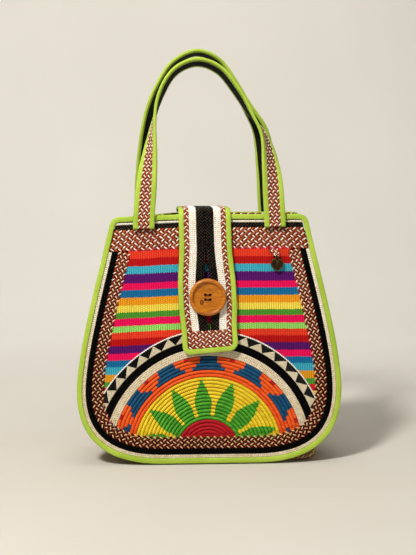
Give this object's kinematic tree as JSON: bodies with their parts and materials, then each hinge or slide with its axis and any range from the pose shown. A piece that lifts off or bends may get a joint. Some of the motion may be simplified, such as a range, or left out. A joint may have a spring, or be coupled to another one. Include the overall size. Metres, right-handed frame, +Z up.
{
  "type": "handbag",
  "caption": "Upright handbag of plaited cane braids and striped cloth, with bound panels, strap handles, a coiled half-sun and a flap that buttons over the front.",
  "frame": {"origin": "on the floor, under the middle of the base", "axes": "+Z up, -Y towards the front panel with the flap, +X to the right seen from the front"},
  "size_m": [0.285, 0.0933, 0.4509],
  "materials": {
    "lime_tape": "cotton tape, lime green",
    "red_plait": "plaited cane, dark red and ivory",
    "cream_cane": "plaited cane, natural cream",
    "black_cane": "plaited cane, dyed black",
    "striped_cloth": "ribbed woven cloth in coloured stripes",
    "coiled_fibre": "coiled fibre, yellow ground with dyed figures",
    "zigzag_cane": "plaited cane, black and cream triangles",
    "tan_cane": "plaited cane, natural tan",
    "black_cloth": "plain black lining cloth",
    "button_wood": "polished turned wood",
    "brown_thread": "waxed thread",
    "antique_brass": "antique brass, dark"
  },
  "bodies": {
    "bag": {"front_edge_binding": "lime_tape", "front_cream_border": "cream_cane", "front_black_border": "black_cane", "front_plaited_border": "red_plait", "front_top_cream_braid": "cream_cane", "front_top_black_braid": "black_cane", "front_top_plait_upper": "red_plait", "front_top_plait_lower": "red_plait", "front_striped_cloth": "striped_cloth", "front_handle_braid": "red_plait", "front_handle_backing": "black_cloth", "front_handle_binding_left": "lime_tape", "front_handle_binding_right": "lime_tape", "back_edge_binding": "lime_tape", "back_cream_border": "cream_cane", "back_black_border": "black_cane", "back_plaited_border": "red_plait", "back_top_cream_braid": "cream_cane", "back_top_black_braid": "black_cane", "back_top_plait_upper": "red_plait", "back_top_plait_lower": "red_plait", "back_striped_cloth": "striped_cloth", "back_handle_braid": "red_plait", "back_handle_backing": "black_cloth", "back_handle_binding_left": "lime_tape", "back_handle_binding_right": "lime_tape", "sun_coil": "coiled_fibre", "sun_cream_braid": "cream_cane", "sun_black_braid": "black_cane", "sun_zigzag_braid": "zigzag_cane", "gusset": "tan_cane", "lining": "black_cloth", "button": "button_wood", "button_thread": "brown_thread", "charm_tab": "red_plait"},
    "flap": {"flap_black_braid_left": "black_cane", "flap_cream_braid_left": "cream_cane", "flap_plaited_braid_left": "red_plait", "flap_black_braid_right": "black_cane", "flap_cream_braid_right": "cream_cane", "flap_plaited_braid_right": "red_plait", "flap_edge_binding": "lime_tape", "flap_end_braid": "red_plait"},
    "ring": {"charm_ring": "antique_brass"},
    "heart": {"charm_heart": "antique_brass"}
  },
  "joints": [
    {"name": "flap_lift", "type": "hinge", "parent": "bag", "child": "flap", "pos_m": [0, 0.03062, 0.26831], "axis": [-1, 0, 0], "range_deg": [0, 110], "deforming": ["flap_black_braid_left", "flap_black_braid_right", "flap_cream_braid_left", "flap_cream_braid_right"]},
    {"name": "ring_swing", "type": "hinge", "parent": "bag", "child": "ring", "pos_m": [0.073, -0.03605, 0.2251], "axis": [0, 0.9986, -0.0524], "range_deg": [-35, 35]},
    {"name": "heart_swing", "type": "hinge", "parent": "ring", "child": "heart", "pos_m": [0.073, -0.03633, 0.2197], "axis": [0, 0.9986, -0.0524], "range_deg": [-45, 45]}
  ]
}
